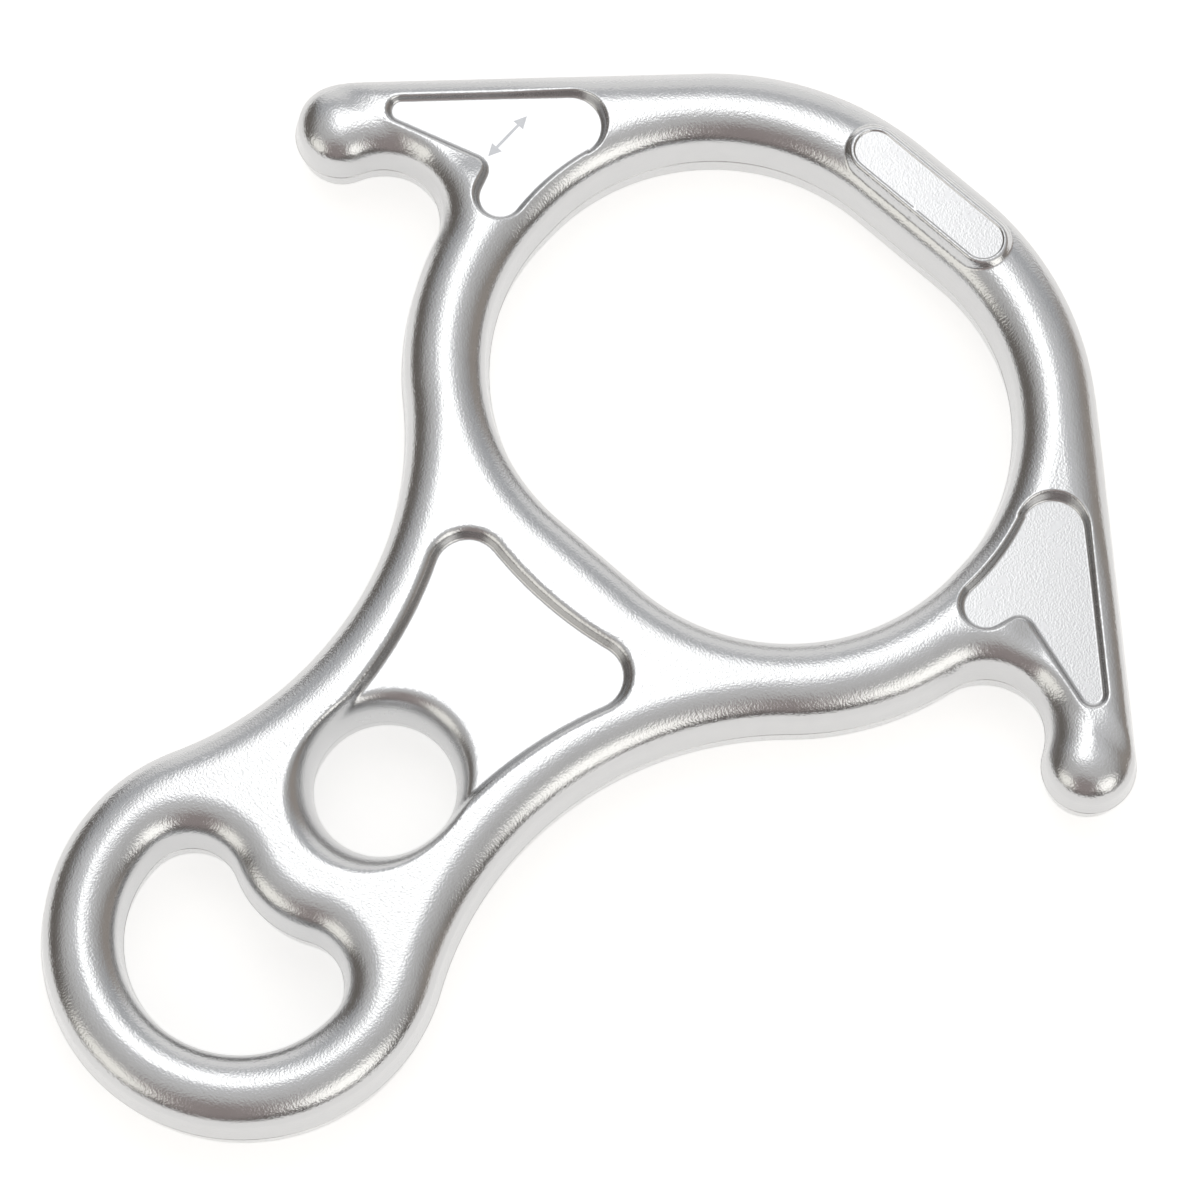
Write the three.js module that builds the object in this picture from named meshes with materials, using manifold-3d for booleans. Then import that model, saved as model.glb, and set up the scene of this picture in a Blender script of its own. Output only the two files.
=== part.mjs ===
// Rescue figure-eight descender with two ears: one solid aluminium forging.
// Lying flat: +X across the ears, +Y along the axis toward the rope ring, +Z through the thickness.
// Millimetres. The origin is at the centre of the footprint, on the face it lies on.
import * as THREE from 'three';
import { mergeVertices } from 'three/addons/utils/BufferGeometryUtils.js';
import Module from 'manifold-3d';

const wasm = await Module();
wasm.setup();

// ---- driving dimensions -------------------------------------------------------------------
const LENGTH = 174;            // end of the small eye to the top of the rope ring
const HALF_T = 8;              // half thickness of the ring, the web and the eye
const EAR_HALF_T = 7;          // the ears are forged a little thinner
const EDGE_ROUND = 5.4;        // how far the rounding of the section reaches in from an edge
const EAR_ROUND = 3.9;         // the same for the ears

const EYE_END_R = 27.5;          // outside radius of the small-eye end
const EYE_R = 16.1;            // lower arc of the kidney-shaped eye
const EYE_WALL = 11.1;         // metal below the eye
const LOBE_R = 6.5;            // upper lobes of the eye
const EYE_DIP_R = 14.9;        // bump between the lobes

const RING_HALF_W = 37.4;      // half width of the rope ring's hole
const RING_CORNER_R = 29.8;      // its corners
const RING_HOLE_H = 61.7;        // its height along the axis
const RING_TOP_WALL = 12.8;    // metal above it, where the pad is
const RING_ARM = 12.2;         // width of the ring's side arms
const RING_TOP_R = 45;       // outside corner at the top of the ring
const RING_TOP_FLAT = 5.5;     // half length of the straight stretch at the top
const NECK_R = 48.9;           // concave flank between the eye end and the ring

const EAR_TIP = { x: 69, y: 34.8, r: 6.55 };   // round end of the ear
const EAR_NOTCH_R = 8;       // rope notch between the ear and the ring

const HOLE_Y_FROM_EYE = 28;  // centre hole above the eye end's centre
const HOLE_R = 9.7;            // centre hole
const HOLE_ROUND = 2.3;        // rounding of its rims in plan
const HOLE_ROUND_Z = 4.5;      // and along its axis

const WEB_DEPTH = 1.6;         // recess in the web
const WEB_TOP_GAP = 10.6;      // web left between the ring's hole and the recess
const WEB_HALF_TOP = 16.4;     // half width of the recess at its upper corners
const WEB_HALF_LOW = 10.6;     // and where it runs into the centre hole
const WEB_CORNER_R = 5.2;
const WEB_BOW = 1;             // how far its top edge bows down between the corners
const WEB_LEAN = -0.16;        // angle at which its corners hand over to the sides

const EAR_FLOOR = 6.0;         // height of the ear recess floor above mid-thickness
const EAR_WALL_OUT = 3.7;      // wall left along the ear's outer edge
const EAR_WALL_RING = 3.8;     // wall left between the recess and the ring's hole
const EAR_POCKET_TOP_R = 4.9;
const EAR_POCKET_TIP_R = 1.9;
const EAR_POCKET_LOBE_R = 3.5;
const EAR_POCKET_NOTCH_R = 1.9;

const PAD_HALF_L = 13.4;       // raised pad on the top of the ring
const PAD_HALF_W = 3.5;
const PAD_BELOW_TOP = 6.6;     // its centre line, a little nearer the hole than the outer edge
const PAD_RISE = 0.6;          // above the local crest of the arm
const PAD_FLOOR = 0.35;        // the shallow recess in it
const PAD_RIM = 0.9;

const ARC_STEP = 2.2;          // length of one chord on an outline
const ROUND_STEPS = 5;         // steps in one quarter of the rounded section

// ---- places worked out from them ----------------------------------------------------------
const Y_TOP = LENGTH / 2;
const EYE_END = { x: 0, y: -LENGTH / 2 + EYE_END_R, r: EYE_END_R };
const EYE_LOW = { x: 0, y: -LENGTH / 2 + EYE_WALL + EYE_R, r: EYE_R };
const LOBE = { x: EYE_R - LOBE_R, y: EYE_LOW.y, r: LOBE_R };
const RING_X = RING_HALF_W - RING_CORNER_R;
const RING_HI = { x: RING_X, y: Y_TOP - RING_TOP_WALL - RING_CORNER_R, r: RING_CORNER_R };
const RING_LO = { x: RING_X, y: Y_TOP - RING_TOP_WALL - RING_HOLE_H + RING_CORNER_R, r: RING_CORNER_R };
const SHOULDER = { x: RING_X, y: RING_LO.y, r: RING_CORNER_R + RING_ARM };
const TOP_ARC = { x: RING_TOP_FLAT, y: Y_TOP - RING_TOP_R, r: RING_TOP_R };
const HOLE_Y = EYE_END.y + HOLE_Y_FROM_EYE;

// ---- plane geometry -----------------------------------------------------------------------
const away = (c, a, r = c.r) => ({ x: c.x + r * Math.cos(a), y: c.y + r * Math.sin(a) });
const bearing = (p, q) => Math.atan2(q.y - p.y, q.x - p.x);
const distance = (p, q) => Math.hypot(q.x - p.x, q.y - p.y);

// Centre of a circle of radius r that sits at distances da and db from two centres.
// side = +1 puts it to the left of the line from a to b.
function centreFrom(a, da, b, db, r, side) {
  const d = distance(a, b);
  const along = (da * da - db * db + d * d) / (2 * d);
  const out = Math.sqrt(Math.max(da * da - along * along, 0)) * side;
  const t = bearing(a, b);
  return {
    x: a.x + along * Math.cos(t) - out * Math.sin(t),
    y: a.y + along * Math.sin(t) + out * Math.cos(t),
    r,
  };
}

// Angle, at both circles, of the common tangent that leaves them on the given side.
// Radii are signed: a negative one is touched from the other side.
function tangentAngle(a, ra, b, rb, side) {
  return bearing(a, b) + side * Math.acos((ra - rb) / distance(a, b));
}

// Points on an arc from a0 round to a1, both ends included. turn = +1 is anticlockwise.
function arc(c, a0, a1, turn, step = ARC_STEP) {
  const full = 2 * Math.PI;
  const sweep = (((a1 - a0) * turn) % full + full) % full;
  const n = Math.max(2, Math.ceil(sweep * c.r / step));
  const points = [];
  for (let i = 0; i <= n; i += 1) {
    points.push(away(c, a0 + turn * sweep * i / n));
  }
  return points;
}

// A closed outline without repeated points. Straight stretches keep only their two ends.
function closed(points) {
  return points.filter((p, i) => distance(p, points[(i + 1) % points.length]) > 0.02);
}

// The right half of a symmetric outline, top to bottom, joined to its mirror image.
function mirrored(half) {
  const left = half.filter((p) => p.x > 0.01).reverse().map((p) => ({ x: -p.x, y: p.y }));
  return closed([...half, ...left]);
}

const grown = (c, by) => ({ ...c, r: c.r + by });
const vectors = (points) => points.map((p) => new THREE.Vector2(p.x, p.y));

// ---- outlines -----------------------------------------------------------------------------
const NECK = centreFrom(
  EYE_END, EYE_END.r + NECK_R, SHOULDER, SHOULDER.r + NECK_R, NECK_R, -1);
const NOTCH = centreFrom(
  SHOULDER, SHOULDER.r + EAR_NOTCH_R, EAR_TIP, EAR_TIP.r + EAR_NOTCH_R, EAR_NOTCH_R, -1);
const EAR_EDGE = tangentAngle(TOP_ARC, TOP_ARC.r, EAR_TIP, EAR_TIP.r, 1);

// The outlines of the plates are drawn `inset` inside the metal, the rounding's reach.

// Ring, web and eye without the ears: a round-cornered ring on a waisted shank.
function bodyOutline(inset) {
  const top = grown(TOP_ARC, -inset);
  const side = grown(SHOULDER, -inset);
  return mirrored([
    ...arc(top, Math.PI / 2, EAR_EDGE, -1),
    ...arc({ ...side, y: RING_HI.y }, EAR_EDGE, 0, -1),
    ...arc(side, 0, bearing(SHOULDER, NECK), -1),
    ...arc(grown(NECK, inset), bearing(NECK, SHOULDER), bearing(NECK, EYE_END), 1),
    ...arc(grown(EYE_END, -inset), bearing(EYE_END, NECK), -Math.PI / 2, -1),
  ]);
}

// One ear: the triangle outside the ring, from the ring's top corner to the notch, with
// its inner side buried in the ring's arm.
function earOutline(inset) {
  const buried = grown(RING_HI, 2 + inset);
  const lead = 0.12;
  const sink = inset + 1.5;
  return closed([
    away(TOP_ARC, EAR_EDGE + lead, TOP_ARC.r - sink),
    away(TOP_ARC, EAR_EDGE, TOP_ARC.r - inset),
    ...arc(grown(EAR_TIP, -inset), EAR_EDGE, bearing(EAR_TIP, NOTCH), -1, 1.3),
    ...arc(grown(NOTCH, inset), bearing(NOTCH, EAR_TIP), bearing(NOTCH, SHOULDER), 1),
    away(SHOULDER, bearing(SHOULDER, NOTCH) - lead, SHOULDER.r - sink),
    ...arc(buried, bearing(SHOULDER, NOTCH) - lead, EAR_EDGE + lead, 1, ARC_STEP * 2),
  ]);
}

function ringHole(inset) {
  return mirrored([
    ...arc(grown(RING_HI, inset), Math.PI / 2, 0, -1),
    ...arc(grown(RING_LO, inset), 0, -Math.PI / 2, -1),
  ]);
}

// The small eye: a round bottom, two lobes and a bump that comes down between them.
function kidneyEye(inset) {
  const left = { ...LOBE, x: -LOBE.x };
  const bump = centreFrom(left, LOBE_R + EYE_DIP_R, LOBE, LOBE_R + EYE_DIP_R, EYE_DIP_R, 1);
  return mirrored([
    ...arc(grown(bump, -inset), -Math.PI / 2, bearing(bump, LOBE), 1, 1.8),
    ...arc(grown(LOBE, inset), bearing(LOBE, bump), 0, -1),
    ...arc(grown(EYE_LOW, inset), 0, -Math.PI / 2, -1),
  ]);
}

// Recess in the web: bowed top, two round corners, sides that close in on the centre hole.
function webRecess() {
  const top = RING_LO.y - RING_CORNER_R - WEB_TOP_GAP;
  const drop = WEB_CORNER_R - WEB_BOW;
  const corner = { x: WEB_HALF_TOP - WEB_CORNER_R, y: top - drop, r: WEB_CORNER_R };
  const bowR = (corner.x ** 2 + drop ** 2 - corner.r ** 2) / (2 * WEB_BOW);
  const bow = { x: 0, y: top + bowR, r: bowR };
  const hip = away(corner, WEB_LEAN);
  const side = new THREE.QuadraticBezierCurve(
    new THREE.Vector2(hip.x, hip.y),
    new THREE.Vector2(WEB_HALF_LOW + 0.6, HOLE_Y + 14),
    new THREE.Vector2(WEB_HALF_LOW, HOLE_Y + 3));
  return mirrored([
    ...arc(bow, -Math.PI / 2, bearing(bow, corner), 1),
    ...arc(corner, bearing(corner, bow), WEB_LEAN, -1, 1.8),
    ...side.getPoints(5),
  ]);
}

// Recess in one ear: follows the ring, steps round the notch, runs out to the tip.
function earRecess() {
  const ring = RING_CORNER_R + EAR_WALL_RING;
  const edge = { x: Math.cos(EAR_EDGE), y: Math.sin(EAR_EDGE) };
  const reach = edge.x * TOP_ARC.x + edge.y * TOP_ARC.y + TOP_ARC.r - EAR_WALL_OUT;
  const top = { x: 45, y: 56, r: EAR_POCKET_TOP_R };
  const lobe = { x: 45, y: 41.1, r: EAR_POCKET_LOBE_R };
  const notch = { x: 50.3, y: 41.4, r: EAR_POCKET_NOTCH_R };
  const tip = { x: 0, y: 41.4, r: EAR_POCKET_TIP_R };
  for (const c of [top, lobe]) {
    c.x = RING_HI.x + Math.sqrt((ring + c.r) ** 2 - (RING_HI.y - c.y) ** 2);
  }
  top.y = (reach - top.r - edge.x * top.x) / edge.y;
  tip.x = (reach - tip.r - edge.y * tip.y) / edge.x;
  const low = tangentAngle(notch, notch.r, tip, -tip.r, 1);
  const step = tangentAngle(lobe, lobe.r, notch, -notch.r, -1);
  return closed([
    ...arc(top, bearing(top, RING_HI), EAR_EDGE, -1, 1.8),
    ...arc(tip, EAR_EDGE, low + Math.PI, -1, 1.3),
    ...arc(notch, low, step + Math.PI, 1, 1.3),
    ...arc(lobe, step, bearing(lobe, RING_HI), -1, 1.8),
    ...arc({ ...RING_HI, r: ring }, bearing(RING_HI, lobe), bearing(RING_HI, top), 1),
  ]);
}

function padOutline(inset) {
  const c = { x: PAD_HALF_L - PAD_HALF_W, y: Y_TOP - PAD_BELOW_TOP, r: PAD_HALF_W - inset };
  return mirrored([
    ...arc(c, Math.PI / 2, -Math.PI / 2, -1, 1.3),
  ]);
}

// ---- solids -------------------------------------------------------------------------------
function toManifold(geometry) {
  geometry.deleteAttribute('normal');
  geometry.deleteAttribute('uv');
  const g = mergeVertices(geometry, 1e-4);
  return new wasm.Manifold(new wasm.Mesh({
    numProp: 3,
    vertProperties: new Float32Array(g.attributes.position.array),
    triVerts: new Uint32Array(g.index.array),
  }));
}

// A plate centred on mid-thickness whose outer edges and holes are rounded to an ellipse.
// Its outline and holes are given already drawn in by `round`.
function roundedPlate(outline, holes, halfT, round) {
  const shape = new THREE.Shape(vectors(outline));
  holes.forEach((h) => shape.holes.push(new THREE.Path(vectors(h).reverse())));
  const flat = 0.8;
  const plate = new THREE.ExtrudeGeometry(shape, {
    depth: flat,
    bevelEnabled: true,
    bevelThickness: halfT - flat / 2,
    bevelSize: round,
    bevelSegments: ROUND_STEPS,
  });
  plate.translate(0, 0, -flat / 2);
  return toManifold(plate);
}

// A cutter or boss between two heights, drawn in by `draft` at its lower end.
function block(outline, z0, z1, draft = 0) {
  const lead = draft > 0 ? 0.8 : 0;
  const g = new THREE.ExtrudeGeometry(new THREE.Shape(vectors(outline)), {
    depth: z1 - z0 - lead,
    bevelEnabled: draft > 0,
    bevelThickness: lead,
    bevelSize: draft,
    bevelOffset: -draft,
    bevelSegments: 2,
  });
  g.translate(0, 0, z0 + lead);
  return toManifold(g);
}

// Straight bore whose rims open out in a quarter ellipse.
function holeCutter() {
  const rim = HALF_T + 0.01;
  const profile = [new THREE.Vector2(0, -rim - 2), new THREE.Vector2(HOLE_R + HOLE_ROUND, -rim - 2)];
  const steps = 4;
  for (let i = 0; i <= steps; i += 1) {
    const a = (Math.PI / 2) * (i / steps);
    profile.push(new THREE.Vector2(
      HOLE_R + HOLE_ROUND * (1 - Math.sin(a)), -rim + HOLE_ROUND_Z * (1 - Math.cos(a))));
  }
  const half = profile.slice(1);
  half.slice().reverse().forEach((p) => profile.push(new THREE.Vector2(p.x, -p.y)));
  profile.push(new THREE.Vector2(0, rim + 2));
  profile.push(new THREE.Vector2(0, -rim - 2));
  const g = new THREE.LatheGeometry(profile, 32);
  g.rotateX(Math.PI / 2);
  g.translate(0, HOLE_Y, 0);
  return toManifold(g);
}

const flipX = (points) => points.map((p) => ({ x: -p.x, y: p.y })).reverse();

const openings = [ringHole(EDGE_ROUND), kidneyEye(EDGE_ROUND)];
let solid = roundedPlate(bodyOutline(EDGE_ROUND), openings, HALF_T, EDGE_ROUND);
const ear = earOutline(EAR_ROUND);
const earCut = earRecess();
for (const place of [(p) => p, flipX]) {
  solid = solid.add(roundedPlate(place(ear), [], EAR_HALF_T, EAR_ROUND));
}
solid = solid.subtract(holeCutter());

const cutTop = HALF_T + 2;
const cuts = [block(webRecess(), HALF_T - WEB_DEPTH, cutTop, 0.5)];
for (const place of [(p) => p, flipX]) {
  cuts.push(block(place(earCut), EAR_FLOOR, cutTop, 0.5));
}
const pad = block(padOutline(0), HALF_T - 3, HALF_T + PAD_RISE);
const padCut = block(padOutline(PAD_RIM), HALF_T + PAD_RISE - PAD_FLOOR, cutTop);
solid = solid.add(pad).subtract(padCut);
for (const cut of cuts) {
  solid = solid.subtract(cut);
  solid = solid.subtract(cut.scale([1, 1, -1]));
}

const out = solid.getMesh();
const forged = new THREE.BufferGeometry();
forged.setAttribute('position', new THREE.BufferAttribute(new Float32Array(out.vertProperties), 3));
forged.setIndex(new THREE.BufferAttribute(new Uint32Array(out.triVerts), 1));
forged.translate(0, 0, HALF_T);
forged.computeVertexNormals();

const aluminium = new THREE.MeshStandardMaterial({ color: 0xc9ccce, metalness: 1, roughness: 0.22 });
aluminium.name = 'polished_aluminium';
const body = new THREE.Mesh(forged, aluminium);
body.name = 'forged_body';

const group = new THREE.Group();
group.name = 'figure_eight_descender';
group.add(body);

export default group;
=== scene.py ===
"""Looks of the figure-eight descender: one forging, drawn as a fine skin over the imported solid.

Above and below mid-thickness the skin is z^2 = F(x, y), where F comes from the distances to
the outlines. So its normals are exact right up to the edge, where the two halves meet.
Lengths are millimetres in the object's own axes until the mesh is placed in the frame.
"""
import bpy
import math
import numpy as np
from mathutils import Matrix, Vector
from mathutils.geometry import delaunay_2d_cdt


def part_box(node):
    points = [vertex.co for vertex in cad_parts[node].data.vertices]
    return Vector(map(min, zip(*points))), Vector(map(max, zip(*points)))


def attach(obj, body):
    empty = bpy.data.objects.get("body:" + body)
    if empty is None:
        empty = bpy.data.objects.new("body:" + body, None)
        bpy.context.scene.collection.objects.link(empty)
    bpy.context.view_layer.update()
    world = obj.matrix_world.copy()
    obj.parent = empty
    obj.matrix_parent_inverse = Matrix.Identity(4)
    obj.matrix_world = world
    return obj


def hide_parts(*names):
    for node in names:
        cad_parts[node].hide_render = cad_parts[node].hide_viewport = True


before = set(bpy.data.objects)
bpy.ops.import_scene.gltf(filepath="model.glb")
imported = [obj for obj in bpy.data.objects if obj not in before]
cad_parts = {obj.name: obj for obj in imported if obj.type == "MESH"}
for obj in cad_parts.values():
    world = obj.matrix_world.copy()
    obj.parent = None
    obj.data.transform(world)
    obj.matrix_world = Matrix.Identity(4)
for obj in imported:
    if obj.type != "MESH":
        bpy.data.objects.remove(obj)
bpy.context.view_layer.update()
NODE = "forged_body"
low, high = (Vector(c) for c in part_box(NODE))

# ---- driving dimensions, in millimetres ------------------------------------------------------
LENGTH = 174.0               # end of the small eye to the top of the rope ring
UNIT = (high.y - low.y) / LENGTH
HALF_T = 8.0                 # half thickness of the ring, the web and the eye
ORIGIN = Vector(((low.x + high.x) / 2, (low.y + high.y) / 2, low.z + HALF_T * UNIT))
EAR_DROP = 1.0               # how much lower the ears lie
CORNER_WEB = 5.5             # reach of the rounding at the top of the section: web
CORNER_RING = 5.6            # ring arms
CORNER_EYE = 5.3             # small eye
CORNER_EAR = 3.7             # ears
CORNER_TIP = 6.1             # the ears' rounded ends
FLATTER = 0.7                # height of that rounding over its reach
DRAFT = math.radians(7)      # lean of the wall below that rounding

EYE_END_R = 27.5
EYE_R = 16.1
EYE_WALL = 11.1
LOBE_R = 6.5
EYE_DIP_R = 14.9
RING_HALF_W = 37.4
RING_CORNER_R = 29.8
RING_HOLE_H = 61.7
RING_TOP_WALL = 12.8
RING_ARM = 12.2
RING_TOP_R = 45.0
RING_TOP_FLAT = 5.5
NECK_R = 48.9
EAR_TIP = (69.0, 34.8, 6.55)
EAR_NOTCH_R = 8.0
HOLE_Y_FROM_EYE = 28.0
HOLE_R = 9.7

RIDGE = 0.02                 # the trimmed parting ridge stands this proud of the section
RIDGE_HALF_T = 0.12
RIDGE_ROUND = 0.02

WEB_FLOOR = 6.4              # heights above mid-thickness
EAR_FLOOR = 6.0
PAD_TOP = 8.6
PAD_FLOOR = 8.35
PAD_RIM = 0.6

HALF_SPAN = 76.0             # just past the ears, for laying out the mesh
EAR_WALL = 3.7               # metal left round the outside of an ear's recess
EAR_RING_WALL = 3.8          # and beside the rope hole
PAD_HALF_L = 13.4
PAD_HALF_W = 3.5
PAD_BELOW_TOP = 6.6          # centre line of the pad below the top of the ring

TAU = 2 * math.pi
UP, DOWN = math.pi / 2, -math.pi / 2
Y_TOP = LENGTH / 2


# ---- plane geometry --------------------------------------------------------------------------
def bearing(p, q):
    return math.atan2(q[1] - p[1], q[0] - p[0])


def gap(p, q):
    return math.hypot(q[0] - p[0], q[1] - p[1])


def away(c, a, r):
    return (c[0] + r * math.cos(a), c[1] + r * math.sin(a))


def touching(a, da, b, db, r, side):
    """A circle of radius r whose centre is da from a and db from b; side +1 is left of a to b."""
    d = gap(a, b)
    along = (da * da - db * db + d * d) / (2 * d)
    out = math.sqrt(max(da * da - along * along, 0.0)) * side
    t = bearing(a, b)
    x = a[0] + along * math.cos(t) - out * math.sin(t)
    y = a[1] + along * math.sin(t) + out * math.cos(t)
    return (x, y, r)


def tangent(a, ra, b, rb, side):
    """Angle at which a common tangent touches two circles; a negative radius swaps its side."""
    return bearing(a, b) + side * math.acos((ra - rb) / gap(a, b))


class Arc:
    """Part of an outline. side = +1 where the inside lies within the circle, -1 where without."""

    def __init__(self, circle, a0, a1, turn, side):
        self.c = circle
        self.r = circle[2]
        self.a0 = a0
        self.turn = turn
        self.sweep = ((a1 - a0) * turn) % TAU
        self.side = side
        self.start = away(circle, a0, self.r)
        self.end = away(circle, a0 + turn * self.sweep, self.r)

    def distance(self, x, y):
        dx = x - self.c[0]
        dy = y - self.c[1]
        signed = self.side * (self.r - np.hypot(dx, dy))
        turned = ((np.arctan2(dy, dx) - self.a0) * self.turn) % TAU
        ends = [np.hypot(x - p[0], y - p[1]) for p in (self.start, self.end)]
        off = np.where(turned <= self.sweep, np.abs(signed), np.minimum(*ends))
        return off, np.sign(signed)

    def points(self, step):
        n = max(3, math.ceil(self.sweep * self.r / step))
        for i in range(n):
            a = self.a0 + self.turn * self.sweep * i / n
            inward = (-self.side * math.cos(a), -self.side * math.sin(a))
            yield (away(self.c, a, self.r), inward)


class Line:
    """A straight stretch of an outline, with the inside on its right as it runs."""

    def __init__(self, p, q):
        self.start = p
        self.end = q
        self.length = gap(p, q)
        self.u = ((q[0] - p[0]) / self.length, (q[1] - p[1]) / self.length)
        self.inward = (self.u[1], -self.u[0])

    def distance(self, x, y):
        dx = x - self.start[0]
        dy = y - self.start[1]
        along = np.clip(dx * self.u[0] + dy * self.u[1], 0.0, self.length)
        off = np.hypot(dx - along * self.u[0], dy - along * self.u[1])
        return off, np.sign(dx * self.inward[0] + dy * self.inward[1])

    def points(self, step):
        n = max(1, round(self.length / step))
        for i in range(n):
            t = self.length * i / n
            p = (self.start[0] + self.u[0] * t, self.start[1] + self.u[1] * t)
            yield (p, self.inward)


class Outline:
    """Arcs in order, joined by straight stretches where one starts away from the last one's end.

    It is the right-hand half of a symmetric outline, or a recess that is repeated on the left.
    """

    def __init__(self, arcs, start=None, end=None):
        self.parts = []
        here = start
        for arc in arcs:
            if here is not None and gap(here, arc.start) > 1e-6:
                self.parts.append(Line(here, arc.start))
            self.parts.append(arc)
            here = arc.end
        if end is not None:
            self.parts.append(Line(here, end))

    def inside(self, x, y):
        """Distance in from the outline, negative outside it."""
        best = np.full(np.shape(x), np.inf)
        sign = np.ones(np.shape(x))
        for part in self.parts:
            off, s = part.distance(np.abs(x), y)
            nearer = off < best - 1e-9
            best = np.where(nearer, off, best)
            sign = np.where(nearer, s, sign)
        return best * sign

    def points(self, step):
        return [pn for part in self.parts for pn in part.points(step)]

    def loop(self, step):
        """Points right round a symmetric outline, each with its inward normal."""
        half = self.points(step)
        last = self.parts[-1].end
        half.append((last, (0.0, math.copysign(1.0, half[-1][1][1]))))
        left = [((-p[0], p[1]), (-n[0], n[1])) for p, n in reversed(half) if p[0] > 1e-6]
        return half + left


# ---- the outlines ----------------------------------------------------------------------------
RING_X = RING_HALF_W - RING_CORNER_R
RING_HI = (RING_X, Y_TOP - RING_TOP_WALL - RING_CORNER_R, RING_CORNER_R)
RING_LO = (RING_X, Y_TOP - RING_TOP_WALL - RING_HOLE_H + RING_CORNER_R, RING_CORNER_R)
SHOULDER = (RING_X, RING_LO[1], RING_CORNER_R + RING_ARM)
TOP_ARC = (RING_TOP_FLAT, Y_TOP - RING_TOP_R, RING_TOP_R)
EYE_END = (0.0, -Y_TOP + EYE_END_R, EYE_END_R)
EYE_LOW = (0.0, -Y_TOP + EYE_WALL + EYE_R, EYE_R)
LOBE = (EYE_R - LOBE_R, EYE_LOW[1], LOBE_R)
LOBE_LEFT = (-LOBE[0], LOBE[1], LOBE_R)
HOLE = (0.0, EYE_END[1] + HOLE_Y_FROM_EYE, HOLE_R)
NECK = touching(EYE_END, EYE_END_R + NECK_R, SHOULDER, SHOULDER[2] + NECK_R, NECK_R, -1)
NOTCH = touching(
    SHOULDER, SHOULDER[2] + EAR_NOTCH_R, EAR_TIP, EAR_TIP[2] + EAR_NOTCH_R, EAR_NOTCH_R, -1)
BUMP = touching(LOBE_LEFT, LOBE_R + EYE_DIP_R, LOBE, LOBE_R + EYE_DIP_R, EYE_DIP_R, 1)
EAR_EDGE = tangent(TOP_ARC, TOP_ARC[2], EAR_TIP, EAR_TIP[2], 1)

OUTER = Outline([
    Arc(TOP_ARC, UP, EAR_EDGE, -1, 1),
    Arc(EAR_TIP, EAR_EDGE, bearing(EAR_TIP, NOTCH), -1, 1),
    Arc(NOTCH, bearing(NOTCH, EAR_TIP), bearing(NOTCH, SHOULDER), 1, -1),
    Arc(SHOULDER, bearing(SHOULDER, NOTCH), bearing(SHOULDER, NECK), -1, 1),
    Arc(NECK, bearing(NECK, SHOULDER), bearing(NECK, EYE_END), 1, -1),
    Arc(EYE_END, bearing(EYE_END, NECK), DOWN, -1, 1),
], start=(0.0, Y_TOP))
RING = Outline([
    Arc(RING_LO, DOWN, 0.0, 1, -1),
    Arc(RING_HI, 0.0, UP, 1, -1),
], start=(0.0, RING_LO[1] - RING_CORNER_R), end=(0.0, RING_HI[1] + RING_CORNER_R))
EYE = Outline([
    Arc(EYE_LOW, DOWN, 0.0, 1, -1),
    Arc(LOBE, 0.0, bearing(LOBE, BUMP), 1, -1),
    Arc(BUMP, bearing(BUMP, LOBE), DOWN, -1, 1),
])
CENTRE = Outline([Arc(HOLE, DOWN, UP, 1, -1)])


def web_recess():
    """Bowed top, round corners, flanks that close in and run down beside the centre hole."""
    corner_r = 5.2
    bow_dip = 1.0
    low_w = 10.7
    top = RING_LO[1] - RING_CORNER_R - 10.6
    drop = corner_r - bow_dip
    corner = (16.4 - corner_r, top - drop, corner_r)
    bow_r = (corner[0] ** 2 + drop ** 2 - corner_r ** 2) / (2 * bow_dip)
    bow = (0.0, top + bow_r, bow_r)
    foot = HOLE[1] + 2.0
    rise = corner[1] - foot
    slip = low_w - corner[0]
    flank_r = (rise ** 2 + slip ** 2 - corner_r ** 2) / (2 * (corner_r - slip))
    flank = (low_w + flank_r, foot, flank_r)
    return Outline([
        Arc(bow, DOWN, bearing(bow, corner), 1, -1),
        Arc(corner, bearing(corner, bow), bearing(corner, flank), -1, 1),
        Arc(flank, bearing(flank, corner), math.pi, 1, -1),
    ], end=(low_w, foot - 40.0))


def ear_recess():
    """Follows the ring, steps round the notch and runs out to the ear's tip."""
    ring_r = RING_CORNER_R + EAR_RING_WALL
    edge = (math.cos(EAR_EDGE), math.sin(EAR_EDGE))
    reach = edge[0] * TOP_ARC[0] + edge[1] * TOP_ARC[1] + RING_TOP_R - EAR_WALL

    def beside_ring(y, r):
        return RING_HI[0] + math.sqrt((ring_r + r) ** 2 - (RING_HI[1] - y) ** 2)

    top_r = 4.9
    lobe_r = 3.5
    notch_r = 1.9
    tip_r = 1.9
    top_y = 56.0
    lobe_y = 41.1
    low_y = 41.4
    top_x = beside_ring(top_y, top_r)
    top = (top_x, (reach - top_r - edge[0] * top_x) / edge[1], top_r)
    lobe = (beside_ring(lobe_y, lobe_r), lobe_y, lobe_r)
    notch = (50.3, low_y, notch_r)
    tip = ((reach - tip_r - edge[1] * low_y) / edge[0], low_y, tip_r)
    ring = (RING_HI[0], RING_HI[1], ring_r)
    low_side = tangent(notch, notch_r, tip, -tip_r, 1)
    step = tangent(lobe, lobe_r, notch, -notch_r, -1)
    return Outline([
        Arc(top, bearing(top, RING_HI), EAR_EDGE, -1, 1),
        Arc(tip, EAR_EDGE, low_side + math.pi, -1, 1),
        Arc(notch, low_side, step + math.pi, 1, -1),
        Arc(lobe, step, bearing(lobe, RING_HI), -1, 1),
        Arc(ring, bearing(RING_HI, lobe), bearing(RING_HI, top), 1, -1),
    ])


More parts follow.
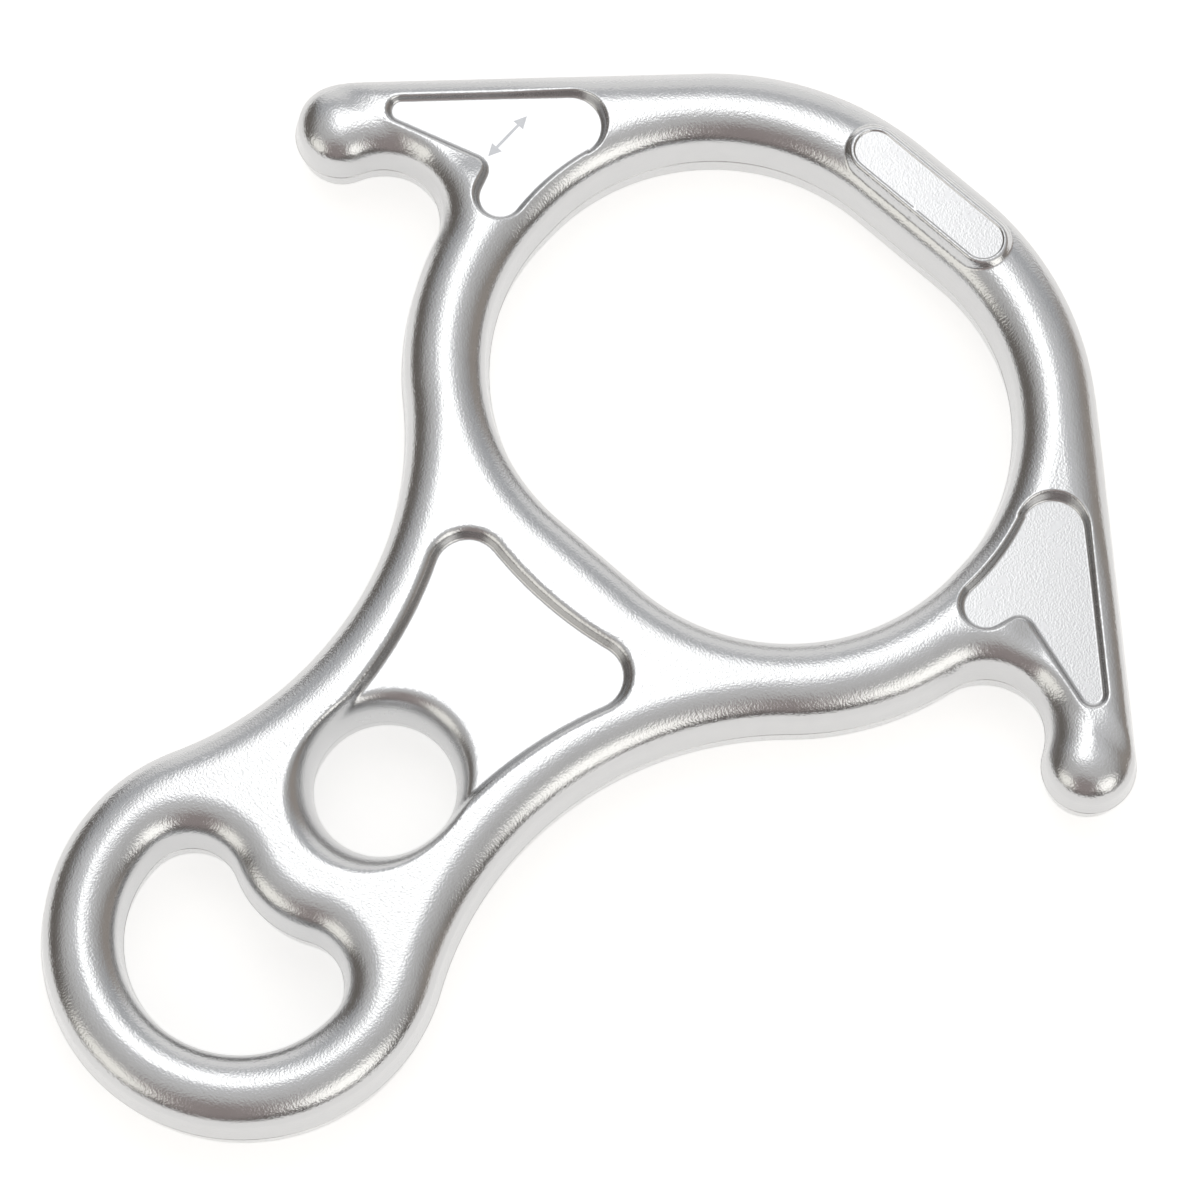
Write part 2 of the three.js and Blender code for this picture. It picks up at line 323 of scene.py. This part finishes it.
def pad_outline():
    """A raised bar with round ends on the top of the ring."""
    end = (PAD_HALF_L - PAD_HALF_W, Y_TOP - PAD_BELOW_TOP, PAD_HALF_W)
    top = (0.0, end[1] + PAD_HALF_W)
    return Outline([Arc(end, UP, DOWN, -1, 1)], start=top, end=(0.0, end[1] - PAD_HALF_W))


WEB = web_recess()
EAR = ear_recess()
PAD = pad_outline()


# ---- the surface -----------------------------------------------------------------------------
def smooth(a, b, t):
    u = np.clip((t - a) / (b - a), 0.0, 1.0)
    return u * u * (3 - 2 * u)


def mix(a, b, t):
    return a + (b - a) * t


def rounded(d, reach):
    """Squared height, over the full one, of a quarter ellipse at distance d from the edge."""
    t = 1 - np.minimum(d / reach, 1.0)
    return 1 - t * t


def section(d, corner):
    """Squared height, over the full one, at distance d in: a drafted wall and a round corner."""
    steep = 1 / (FLATTER * math.tan(DRAFT))
    join = steep / math.hypot(steep, 1)
    rise = FLATTER * corner
    wall_top = HALF_T - rise * (1 - math.sqrt(1 - join ** 2))
    wall = wall_top * math.tan(DRAFT)
    back = np.clip((wall + join * corner - d) / corner, 0.0, join)
    on_corner = HALF_T - rise * (1 - np.sqrt(1 - back ** 2))
    z = np.where(d < wall, d / math.tan(DRAFT), on_corner) / HALF_T
    return z * np.abs(z)


def fall(p, lip, fillet, lean, depth):
    """Part of a recess's depth reached p inside its outline: a lip, a leaning wall, a fillet."""
    c, s = math.cos(lean), math.sin(lean)
    wall = (depth - (lip + fillet) * (1 - c)) / math.tan(lean)
    d_lip = lip * (1 - c)
    q = p + lip * s
    on_lip = lip - np.sqrt(lip ** 2 - np.clip(q, 0, lip * s) ** 2)
    on_wall = d_lip + np.clip(q - lip * s, 0, wall) * math.tan(lean)
    left = np.clip((lip + fillet) * s + wall - q, 0, fillet * s)
    on_fillet = depth - (fillet - np.sqrt(fillet ** 2 - left ** 2))
    out = np.where(q < lip * s, on_lip, np.where(q < lip * s + wall, on_wall, on_fillet))
    return np.where(q < 0, 0.0, out) / depth


LEAN = math.radians(62)      # slope of the walls of the recesses and the pad


def recessed(x, y):
    """How far (0 to 1) a point is sunk to the floor of the web's recess, and of an ear's."""
    web = fall(WEB.inside(x, y), 1.3, 0.5, LEAN, HALF_T - WEB_FLOOR)
    web = web * smooth(HOLE[1] - 3.0, HOLE[1] + 5.0, y)
    ear = fall(EAR.inside(x, y), 0.7, 0.5, LEAN, HALF_T - EAR_DROP - EAR_FLOOR)
    return web, ear


def surface(x, y, front):
    """z^2 of the skin at plan positions x, y. The pad is on the front only."""
    outer = OUTER.inside(x, y)
    ring = RING.inside(x, y)
    eye = EYE.inside(x, y)
    centre = CENTRE.inside(x, y)
    width = outer + ring
    ear_zone = smooth(14, 22, width) * smooth(12, 20, y)
    up_ring = smooth(5, 25, y)
    at_eye = smooth(-38, -52, y)
    corner = mix(mix(CORNER_WEB, CORNER_RING, up_ring), CORNER_EYE, at_eye)
    at_tip = smooth(41.0, 37.5, y) * smooth(12, 20, ring)
    outer_corner = mix(mix(corner, CORNER_EAR, ear_zone), CORNER_TIP, at_tip * ear_zone)
    half_t = HALF_T - EAR_DROP * smooth(7, 15, ring) * ear_zone
    f = half_t ** 2 * section(outer - RIDGE, outer_corner)
    f = f * np.maximum(section(ring - RIDGE, corner), 0.0)
    f = f * np.maximum(section(eye - RIDGE, CORNER_EYE), 0.0)
    z = np.sqrt(np.maximum(f, 0.0))
    web, ear = recessed(x, y)
    sunk = z + web * np.minimum(WEB_FLOOR - z, 0.0) + ear * np.minimum(EAR_FLOOR - z, 0.0)
    if front:
        p = PAD.inside(x, y)
        raised = fall(p + 0.5, 0.4, 0.55, LEAN, PAD_TOP - HALF_T + 0.9)
        sunk = mix(sunk, PAD_TOP, raised)
        sunk = sunk - (PAD_TOP - PAD_FLOOR) * fall(p - PAD_RIM, 0.15, 0.15, LEAN, PAD_TOP - PAD_FLOOR)
    f = np.where(f > 0, sunk * sunk, f)
    turn = np.arctan2(y - HOLE[1], np.abs(x))
    hole_reach = np.where(
        turn < 0, mix(2.3, 5.6, np.sin(turn) ** 2), mix(2.3, 3.7, np.sin(turn) ** 2))
    f = f * rounded(centre - RIDGE, hole_reach)
    edge = np.minimum(np.minimum(outer, ring), np.minimum(eye, centre))
    ridge = RIDGE_HALF_T ** 2 * rounded(edge, RIDGE_ROUND)
    return np.maximum(f, ridge)


def normals(x, y, z, front):
    h = 0.01
    gx = (surface(x + h, y, front) - surface(x - h, y, front)) / (2 * h)
    gy = (surface(x, y + h, front) - surface(x, y - h, front)) / (2 * h)
    n = np.stack([-gx, -gy, 2 * z], axis=1)
    return n / np.maximum(np.linalg.norm(n, axis=1), 1e-9)[:, None]


# ---- the mesh --------------------------------------------------------------------------------
STEP = 0.95                  # spacing along the edges
CORE = 0.62                  # spacing inside
RIDGE_ROWS = (0.0, 0.004, 0.02, 0.06, 0.14, 0.25)
SECTION_ROWS = 16


def strip_reach(x, y, hole):
    """How far in from an edge the rows of its strip go, stopping short of ear recess and pad."""
    if hole:
        return 2.2
    clear = -np.maximum(EAR.inside(x, y), PAD.inside(x, y))
    return np.clip(clear - 1.5, 1.2, 5.2)


def strip(loop, hole=False):
    """Rows of points that follow an edge inwards, as an array rows x columns x 2."""
    p = np.array([a for a, _ in loop])
    n = np.array([b for _, b in loop])
    reach = strip_reach(p[:, 0], p[:, 1], hole) * np.ones(len(p))
    angles = np.linspace(0.05, 1.0, SECTION_ROWS)
    rows = [p + n * d for d in RIDGE_ROWS]
    top = RIDGE_ROWS[-1]
    rows += [p + n * (top + (reach - top) * (1 - np.cos(a * UP)))[:, None] for a in angles]
    return np.array(rows)


def within(polygon, x, y):
    """Even-odd test of points against a closed polygon."""
    odd = np.zeros(len(x), bool)
    ahead = np.roll(polygon, -1, axis=0)
    for (x0, y0), (x1, y1) in zip(polygon, ahead):
        if y0 != y1:
            odd ^= ((y0 > y) != (y1 > y)) & (x < x0 + (y - y0) * (x1 - x0) / (y1 - y0))
    return odd


def cell(q, size):
    return (int(q[0] // size), int(q[1] // size))


def crowded(q, cells, clear):
    """Whether a kept point lies within clear of q."""
    cx, cy = cell(q, clear)
    for a in (cx - 1, cx, cx + 1):
        for b in (cy - 1, cy, cy + 1):
            for r in cells.get((a, b), ()):
                if (r[0] - q[0]) ** 2 + (r[1] - q[1]) ** 2 < clear * clear:
                    return True
    return False


def core_points(rims):
    """Points inside the strips: rings beside the walls of recesses and pad, then a lattice."""
    rings = []
    for outline, offsets, step in (
            (WEB, np.arange(-1.4, 1.3, 0.17), 0.75),
            (EAR, np.arange(-1.2, 1.5, 0.17), 0.6),
            (PAD, np.arange(-1.3, 1.5, 0.14), 0.4)):
        for d in offsets:
            for p, n in outline.points(step):
                for side in (1, -1):
                    rings.append((side * (p[0] + n[0] * d), p[1] + n[1] * d))
    lattice = []
    rise = CORE * math.sqrt(3) / 2
    across = int(HALF_SPAN / CORE)
    for j in range(-int(Y_TOP / rise), int(Y_TOP / rise) + 1):
        for i in range(-across, across + 1):
            lattice.append(((i + 0.5 * (j % 2)) * CORE, j * rise))
    kept = [tuple(p) for rim in rims for p in rim]
    fixed = len(kept)
    for wanted, clear in ((rings, 0.13), (lattice, CORE * 0.62)):
        w = np.array(wanted)
        ok = within(rims[0], w[:, 0], w[:, 1])
        for rim in rims[1:]:
            ok &= ~within(rim, w[:, 0], w[:, 1])
        w = w[ok]
        cells = {}
        for q in kept:
            cells.setdefault(cell(q, clear), []).append(q)
        for q in map(tuple, w):
            if not crowded(q, cells, clear):
                kept.append(q)
                cells.setdefault(cell(q, clear), []).append(q)
    return kept, fixed


def skin():
    """Vertices (mm), faces, vertex normals and the blasted mask of the whole forging."""
    strips = [strip(o.loop(STEP)) for o in (OUTER, RING, EYE)]
    strips.append(strip(CENTRE.loop(STEP * 0.7), True))
    plan = []
    quads = []
    rims = []
    rim_ids = []
    edge_ids = []
    for s in strips:
        rows, cols = s.shape[:2]
        base = len(plan)
        plan.extend(map(tuple, s.reshape(-1, 2)))
        edge_ids.extend(range(base, base + cols))
        for r in range(rows - 1):
            for c in range(cols):
                d = (c + 1) % cols
                a = base + r * cols
                b = a + cols
                quads.append((a + c, a + d, b + d, b + c))
        rims.append(s[-1])
        rim_ids.append(list(range(base + (rows - 1) * cols, base + rows * cols)))
    core, fixed = core_points(rims)
    edges = []
    at = 0
    for rim in rims:
        n = len(rim)
        edges += [(at + i, at + (i + 1) % n) for i in range(n)]
        at += n
    verts, _, tris, origin, *_ = delaunay_2d_cdt([Vector(p) for p in core], edges, [], 0, 1e-6)
    own = [i for ids in rim_ids for i in ids]
    index = []
    for v, o in zip(verts, origin):
        if o and o[0] < fixed:
            index.append(own[o[0]])
        else:
            index.append(len(plan))
            plan.append((v.x, v.y))
    t = np.array(tris)
    xy = np.array([(v.x, v.y) for v in verts])
    mid = xy[t].mean(axis=1)
    ok = within(rims[0], mid[:, 0], mid[:, 1])
    for rim in rims[1:]:
        ok &= ~within(rim, mid[:, 0], mid[:, 1])
    faces = quads + [tuple(index[i] for i in tri) for tri in t[ok]]
    plan = np.array(plan)
    x, y = plan[:, 0], plan[:, 1]

    # Every face is turned to look up before the two halves are made.
    fronted = []
    for f in faces:
        a, b, c = plan[f[0]], plan[f[1]], plan[f[2]]
        turn = (b[0] - a[0]) * (c[1] - a[1]) - (b[1] - a[1]) * (c[0] - a[0])
        fronted.append(f if turn > 0 else f[::-1])
    count = len(plan)
    on_edge = np.zeros(count, bool)
    on_edge[edge_ids] = True
    zf = np.sqrt(np.maximum(surface(x, y, True), 0.0))
    zb = np.sqrt(np.maximum(surface(x, y, False), 0.0))
    zf[on_edge] = 0.0
    zb[on_edge] = 0.0
    nf = normals(x, y, zf, True)
    nb = normals(x, y, zb, False) * (1, 1, -1)
    back = np.full(count, -1)
    back[~on_edge] = count + np.arange((~on_edge).sum())
    back[on_edge] = np.arange(count)[on_edge]
    web, ear = recessed(x, y)
    mask = np.clip(web + ear, 0, 1)
    pad = smooth(PAD_RIM - 0.1, PAD_RIM + 0.3, PAD.inside(x, y))
    pts = np.vstack([np.stack([x, y, zf], 1), np.stack([x, y, -zb], 1)[~on_edge]])
    nor = np.vstack([nf, nb[~on_edge]])
    masks = np.concatenate([np.maximum(mask, pad), mask[~on_edge]])
    under = [tuple(int(back[i]) for i in reversed(f)) for f in fronted]
    return pts, fronted + under, nor, masks


points, faces, vertex_normals, blasted = skin()
mesh = bpy.data.meshes.new("forging")
mesh.from_pydata([ORIGIN + Vector(p) * UNIT for p in points], [], faces)
mesh.validate(verbose=True)
mesh.shade_smooth()
mask = mesh.attributes.new("blasted", "FLOAT", "POINT")
mask.data.foreach_set("value", blasted.astype(np.float32))
mesh.normals_split_custom_set_from_vertices([tuple(n) for n in vertex_normals])
forging = bpy.data.objects.new("forging", mesh)
bpy.context.scene.collection.objects.link(forging)
print("skin", len(mesh.vertices), "vertices", sum(len(f) - 2 for f in faces), "triangles")


# ---- materials -------------------------------------------------------------------------------
def nodes_of(name):
    m = bpy.data.materials.new(name)
    m.use_nodes = True
    m.node_tree.nodes.clear()
    return m, m.node_tree


class Tree:
    """Small helper for wiring shader nodes."""

    def __init__(self, tree):
        self.t = tree

    def add(self, kind, settings=None, **inputs):
        n = self.t.nodes.new(kind)
        for k, v in (settings or {}).items():
            setattr(n, k, v)
        for k, v in inputs.items():
            self.put(n, k.replace("_", " "), v)
        return n

    def put(self, node, key, v):
        socket = node.inputs[key] if not key.isdigit() else node.inputs[int(key)]
        if isinstance(v, bpy.types.NodeSocket):
            self.t.links.new(v, socket)
        else:
            socket.default_value = v

    def math(self, op, a, b=0.0, c=0.0):
        n = self.add("ShaderNodeMath", {"operation": op})
        for i, v in enumerate((a, b, c)):
            self.put(n, str(i), v)
        return n.outputs[0]

    def ramp(self, value, lo, hi, out_lo, out_hi):
        n = self.add("ShaderNodeMapRange", {"interpolation_type": "SMOOTHSTEP"})
        for i, v in enumerate((value, lo, hi, out_lo, out_hi)):
            self.put(n, str(i), v)
        return n.outputs[0]


def load_arrow(t, place):
    """1 on the double-headed arrow marked in the left ear's recess, 0 elsewhere."""
    centre = ORIGIN + Vector((-49.9, 48.5, 0)) * UNIT
    axis = Vector((0, 1, 0))

    def along(v):
        away_from = t.add("ShaderNodeVectorMath", {"operation": "SUBTRACT"})
        t.put(away_from, "0", place)
        away_from.inputs[1].default_value = centre
        n = t.add("ShaderNodeVectorMath", {"operation": "DOT_PRODUCT"})
        t.put(n, "0", away_from.outputs[0])
        n.inputs[1].default_value = v / UNIT
        return n.outputs["Value"]

    u = t.math("ABSOLUTE", along(axis))
    v = t.math("ABSOLUTE", along(Vector((-axis.y, axis.x, 0))))
    edge = 0.06
    half_length = 4.1
    head = 1.9
    half_shaft = 0.24
    on_head = t.math("MULTIPLY", t.math("SUBTRACT", half_length, u), 0.5)
    on_head = t.math("MULTIPLY", on_head, t.math("GREATER_THAN", u, half_length - head))
    wide = t.math("MAXIMUM", on_head, t.math("MULTIPLY", half_shaft,
                                             t.math("LESS_THAN", u, half_length - head)))
    mark = t.ramp(t.math("SUBTRACT", wide, v), 0.0, edge, 0.0, 1.0)
    return t.math("MULTIPLY", mark, t.math("GREATER_THAN", along(Vector((0, 0, 1))), 0.0))


def aluminium():
    m, tree = nodes_of("polished_aluminium")
    t = Tree(tree)
    place = t.add("ShaderNodeTexCoord").outputs["Object"]
    blast = t.add("ShaderNodeAttribute", {"attribute_name": "blasted"}).outputs["Fac"]
    fine = t.add("ShaderNodeTexNoise", Vector=place, Scale=3200.0, Detail=2.0, Roughness=0.6)
    broad = t.add("ShaderNodeTexNoise", Vector=place, Scale=420.0, Detail=3.0, Roughness=0.55)
    grit = t.add("ShaderNodeTexVoronoi", Vector=place, Scale=3600.0)
    rough = t.ramp(broad.outputs["Fac"], 0.3, 0.7, 0.14, 0.18)
    rough = t.math("ADD", rough, t.math("MULTIPLY", blast, 0.1))
    grain = t.ramp(blast, 0.0, 1.0, 0.9, 0.25)
    bump = t.add("ShaderNodeBump", Strength=grain, Distance=0.00005, Height=fine.outputs["Fac"])
    strength = t.math("MULTIPLY", blast, 0.35)
    pits = t.add("ShaderNodeBump", Strength=strength, Distance=0.00003,
                 Height=grit.outputs["Distance"], Normal=bump.outputs["Normal"])
    shader = t.add("ShaderNodeBsdfPrincipled", Roughness=rough, Normal=pits.outputs["Normal"])
    tone = t.add("ShaderNodeMixRGB", {"blend_type": "MIX"}, Fac=broad.outputs["Fac"],
                 Color1=(0.585, 0.587, 0.592, 1), Color2=(0.635, 0.636, 0.64, 1))
    arrow = load_arrow(t, place)
    tone = t.add("ShaderNodeMixRGB", {"blend_type": "MIX"}, Fac=arrow,
                 Color1=tone.outputs[0], Color2=(0.34, 0.345, 0.355, 1))
    t.put(shader, "Base Color", tone.outputs[0])
    shader.inputs["Metallic"].default_value = 1.0
    out = t.add("ShaderNodeOutputMaterial")
    t.t.links.new(shader.outputs[0], out.inputs["Surface"])
    return m


mesh.materials.append(aluminium())
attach(forging, "root")
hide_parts(NODE)


# ---- floor -----------------------------------------------------------------------------------
def paper():
    m, tree = nodes_of("white_paper")
    t = Tree(tree)
    place = t.add("ShaderNodeTexCoord").outputs["Object"]
    cloud = t.add("ShaderNodeTexNoise", Vector=place, Scale=6.0, Detail=2.0)
    tone = t.add("ShaderNodeMixRGB", {"blend_type": "MIX"}, Fac=cloud.outputs["Fac"],
                 Color1=(0.625, 0.615, 0.60, 1), Color2=(0.635, 0.625, 0.61, 1))
    shader = t.add("ShaderNodeBsdfPrincipled", Roughness=0.7)
    t.put(shader, "Base Color", tone.outputs[0])
    shader.inputs["Emission Color"].default_value = (0.98, 0.98, 0.975, 1)
    shader.inputs["Emission Strength"].default_value = 0.66
    out = t.add("ShaderNodeOutputMaterial")
    t.t.links.new(shader.outputs[0], out.inputs["Surface"])
    return m


FLOOR_HALF = 6.0
floor_mesh = bpy.data.meshes.new("floor")
corners = [(-1, -1), (1, -1), (1, 1), (-1, 1)]
floor_mesh.from_pydata(
    [(a * FLOOR_HALF, b * FLOOR_HALF, low.z) for a, b in corners], [], [(0, 1, 2, 3)])
floor_mesh.materials.append(paper())
floor = bpy.data.objects.new("floor", floor_mesh)
bpy.context.scene.collection.objects.link(floor)

# ---- camera ----------------------------------------------------------------------------------
TURN = math.radians(41.9)    # the picture's right, measured round from the object's +X
TILT = math.radians(17.0)    # the camera leans back this far from straight above
DISTANCE = 823 * UNIT
right = Vector((math.cos(TURN), math.sin(TURN), 0))
down = Vector((math.sin(TURN), -math.cos(TURN), 0))
target = ORIGIN + Vector((3.62, 8.15, 0)) * UNIT
back = Vector((0, 0, math.cos(TILT))) + down * math.sin(TILT)
cam_data = bpy.data.cameras.new("camera")
cam_data.lens = 180.0
cam_data.sensor_width = 36.0
cam_data.clip_start = 0.01
cam_data.clip_end = 50.0
camera = bpy.data.objects.new("camera", cam_data)
pose = Matrix((right, back.cross(right), back)).transposed().to_4x4()
pose.translation = target + back * DISTANCE
camera.matrix_world = pose
bpy.context.scene.collection.objects.link(camera)
bpy.context.scene.camera = camera

# ---- light -----------------------------------------------------------------------------------
behind = -down


def softbox(name, lean, lean_side, distance, width, depth, level):
    """A soft light of a given level that leans back from straight above, and sideways."""
    data = bpy.data.lights.new(name, "AREA")
    data.shape = "RECTANGLE"
    data.size = width
    data.size_y = depth
    data.energy = level * width * depth * math.pi
    light = bpy.data.objects.new(name, data)
    out = (Vector((0, 0, 1)) + behind * math.tan(lean) + right * math.tan(lean_side)).normalized()
    side = (right - out * right.dot(out)).normalized()
    m = Matrix((side, out.cross(side), out)).transposed().to_4x4()
    m.translation = ORIGIN + out * distance
    light.matrix_world = m
    light.visible_camera = False
    bpy.context.scene.collection.objects.link(light)


deg = math.radians
softbox("softbox", deg(21), deg(-1.85), 0.62, 0.22, 0.34, 0.85)
softbox("softbox_edge", deg(21), deg(-1.85), 0.63, 0.29, 0.43, 0.5)


def studio():
    """The room as the metal sees it: dark, with a white sweep behind, lamps and a pale table."""
    world = bpy.data.worlds.new("studio")
    bpy.context.scene.world = world
    world.use_nodes = True
    world.node_tree.nodes.clear()
    t = Tree(world.node_tree)
    way = t.add("ShaderNodeTexCoord").outputs["Generated"]

    def along(v):
        n = t.add("ShaderNodeVectorMath", {"operation": "DOT_PRODUCT"})
        t.put(n, "0", way)
        n.inputs[1].default_value = v
        return n.outputs["Value"]

    def blend(fac, a, b):
        return t.add("ShaderNodeMixRGB", {"blend_type": "MIX"}, Fac=fac, Color1=a,
                     Color2=b).outputs[0]

    def lamp(down_from_top, round_from_right, wide, edge):
        """1 inside a round patch of the room, 0 outside it."""
        a, b = deg(down_from_top), deg(round_from_right)
        to = Vector((0, 0, 1)) * math.cos(a)
        to += (right * math.cos(b) + behind * math.sin(b)) * math.sin(a)
        return t.ramp(along(to), math.cos(deg(wide + edge)), math.cos(deg(wide)), 0.0, 1.0)

    toward = along(behind)
    height = along(Vector((0, 0, 1)))
    lean = t.math("ARCTAN2", toward, height)
    room = blend(t.ramp(height, 0.12, 1.0, 0.0, 1.0),
                 (0.13, 0.118, 0.11, 1), (0.70, 0.695, 0.685, 1))
    cool = t.math("MULTIPLY", t.ramp(lean, deg(25), deg(40), 0.0, 1.0), 0.5)
    room = blend(cool, room, (0.58, 0.615, 0.66, 1))
    room = blend(lamp(20, 90, 10, 26), room, (0.82, 0.825, 0.835, 1))
    room = blend(lamp(85, 15, 18, 22), room, (0.40, 0.36, 0.325, 1))
    room = blend(lamp(85, 160, 22, 22), room, (0.19, 0.172, 0.157, 1))
    room = blend(lamp(55, -105, 14, 22), room, (0.37, 0.32, 0.31, 1))
    sweep = t.ramp(lean, deg(50), deg(62), 0.0, 1.0)
    aside = t.math("ABSOLUTE", t.math("SUBTRACT", along(right), 0.08))
    sweep = t.math("MULTIPLY", sweep, t.ramp(aside, 0.40, 0.74, 1.0, 0.0))
    light = blend(sweep, room, (1.0, 0.995, 0.985, 1))
    light = blend(lamp(60, -50, 12, 13), light, (1.7, 1.67, 1.6, 1))
    light = blend(lamp(66, -146, 11, 13), light, (1.3, 1.27, 1.19, 1))
    for_camera = t.add("ShaderNodeLightPath").outputs["Is Camera Ray"]
    seen = blend(for_camera, light, (0.93, 0.93, 0.93, 1))
    back_light = t.add("ShaderNodeBackground", Color=seen, Strength=1.0)
    out = t.add("ShaderNodeOutputWorld")
    t.t.links.new(back_light.outputs[0], out.inputs["Surface"])


studio()
bpy.context.scene.view_settings.view_transform = "Standard"
